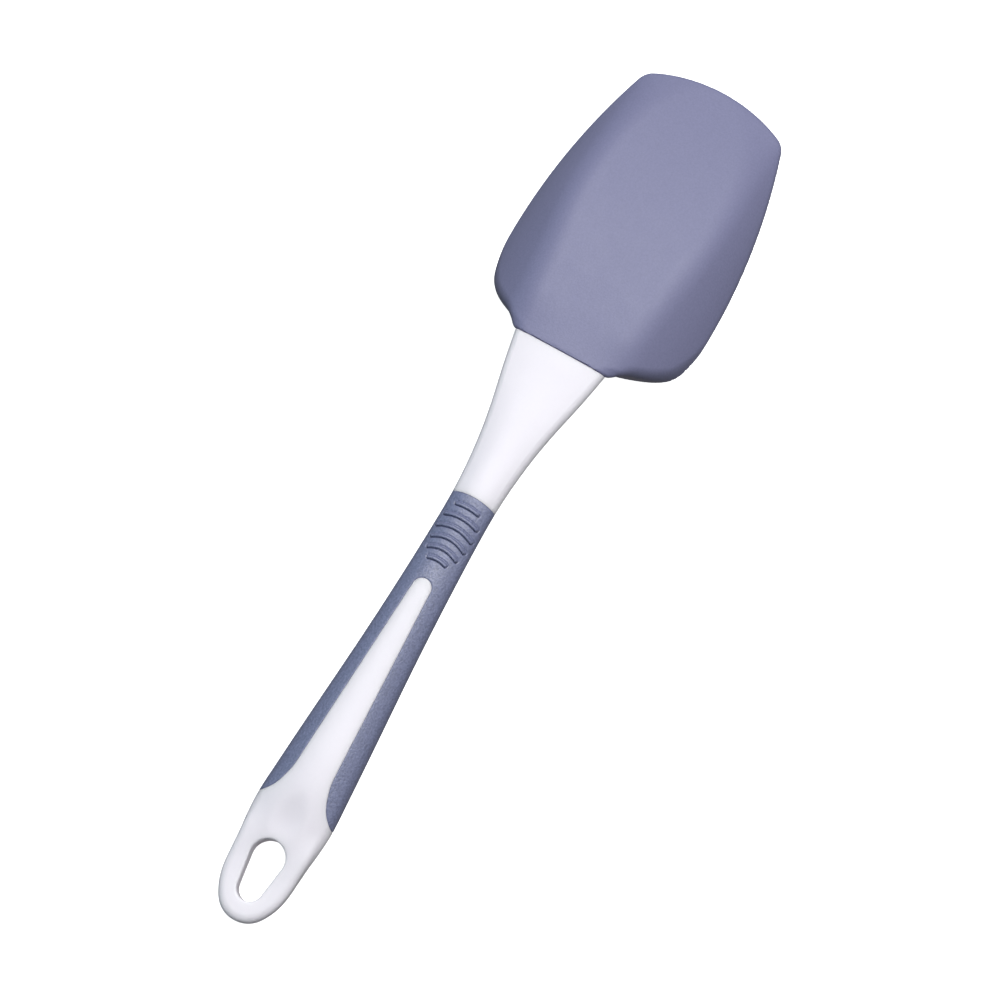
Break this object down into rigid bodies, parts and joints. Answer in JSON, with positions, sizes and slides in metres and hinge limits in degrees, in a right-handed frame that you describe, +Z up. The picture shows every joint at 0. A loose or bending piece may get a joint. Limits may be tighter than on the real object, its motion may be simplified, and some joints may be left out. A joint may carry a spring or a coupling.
{
  "type": "silicone spoon spatula",
  "caption": "Spoon spatula: a hollow silicone scoop pushed onto a stiff core, with a soft ribbed grip and a hanging loop.",
  "frame": {"origin": "centre of the bounding box on the surface that the spatula lies on, rounded back up", "axes": "+X along the handle towards the tip of the head, +Z up from the surface to the rounded back, +Y across"},
  "size_m": [0.2916, 0.0692, 0.0185],
  "materials": {
    "head_silicone": "matte blue-grey silicone",
    "core_nylon": "satin white heat-resistant nylon",
    "handle_plastic": "satin white moulded plastic",
    "grip_rubber": "fine-textured matte blue-grey soft-touch rubber"
  },
  "bodies": {
    "handle": {"handle_body": "handle_plastic", "neck_core": "core_nylon", "soft_grip": "grip_rubber"},
    "head": {"silicone_head": "head_silicone"}
  },
  "joints": [
    {"name": "head_pull", "type": "slide", "parent": "handle", "child": "head", "axis": [1, 0, 0], "range_m": [0, 0.045]}
  ]
}
